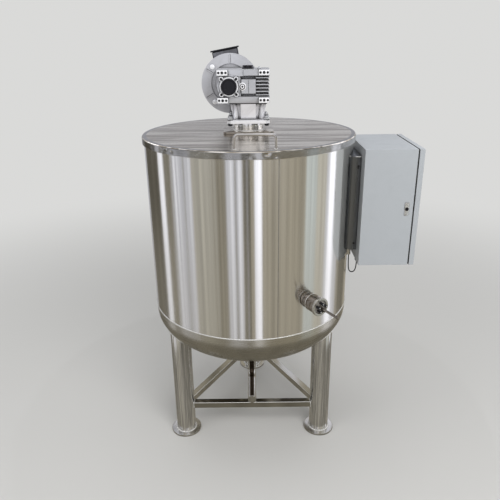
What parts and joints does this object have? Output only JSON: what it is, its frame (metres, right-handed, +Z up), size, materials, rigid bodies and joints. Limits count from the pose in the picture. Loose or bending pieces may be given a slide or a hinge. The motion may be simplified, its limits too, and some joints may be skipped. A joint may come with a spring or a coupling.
{
  "type": "heating and cooling tank",
  "caption": "Jacketed stainless tank on three round legs with a flat lid, a top gear motor, an immersion heater, a bottom outlet and a side control cabinet.",
  "frame": {"origin": "middle of the whole object's footprint, on the floor", "axes": "+Z up, -Y the front, +X the side with the control cabinet"},
  "size_m": [0.9359, 0.7962, 1.4158],
  "materials": {
    "polished_steel": "mirror polished stainless steel",
    "brushed_steel": "stainless steel brushed in one direction",
    "satin_steel": "satin ground stainless steel",
    "welds": "ground weld",
    "cast_aluminium": "silver painted cast aluminium",
    "black_plastic": "black moulded plastic",
    "black_rubber": "black rubber",
    "cabinet_paint": "light grey textured powder coat",
    "zinc_steel": "zinc plated steel"
  },
  "bodies": {
    "tank": {"jacket_shell": "polished_steel", "jacket_dish": "satin_steel", "seam_weld": "welds", "inner_vessel": "satin_steel", "top_ring": "satin_steel", "lid": "brushed_steel", "lid_handle": "polished_steel", "leg_front_left": "polished_steel", "leg_front_right": "polished_steel", "leg_rear": "polished_steel", "foot_front_left": "satin_steel", "foot_front_right": "satin_steel", "foot_rear": "satin_steel", "brace_front": "satin_steel", "brace_left": "satin_steel", "brace_right": "satin_steel", "outlet_pipe": "polished_steel", "outlet_cap": "satin_steel", "heater_boss": "polished_steel", "heater_collar": "satin_steel", "heater_head": "satin_steel", "heater_insert": "black_plastic", "heater_terminals": "zinc_steel", "heater_sheath": "satin_steel", "mixer_plate": "brushed_steel", "mixer_neck": "polished_steel", "output_flange": "cast_aluminium", "gearbox_housing": "cast_aluminium", "worm_cover": "black_plastic", "shaft_cap": "black_plastic", "level_plug": "zinc_steel", "input_flange": "cast_aluminium", "motor_flange": "cast_aluminium", "motor_body": "cast_aluminium", "fan_cover": "cast_aluminium", "terminal_box": "black_plastic", "terminal_lid": "black_plastic", "cabinet_body": "cabinet_paint", "cabinet_bracket": "brushed_steel", "lock_plate": "zinc_steel", "lock_insert": "black_plastic", "hinge_lower_fixed": "zinc_steel", "hinge_upper_fixed": "zinc_steel", "sensor_pocket": "satin_steel", "cable_gland": "black_plastic", "sensor_lead": "black_rubber"},
    "door": {"cabinet_door": "cabinet_paint", "door_seal": "black_rubber", "hinge_lower_door": "zinc_steel", "hinge_upper_door": "zinc_steel"}
  },
  "joints": [
    {"name": "door_hinge", "type": "hinge", "parent": "tank", "child": "door", "pos_m": [0.44875, 0.18962, 0.8965], "axis": [0, 0, 1], "range_deg": [0, 110]}
  ]
}
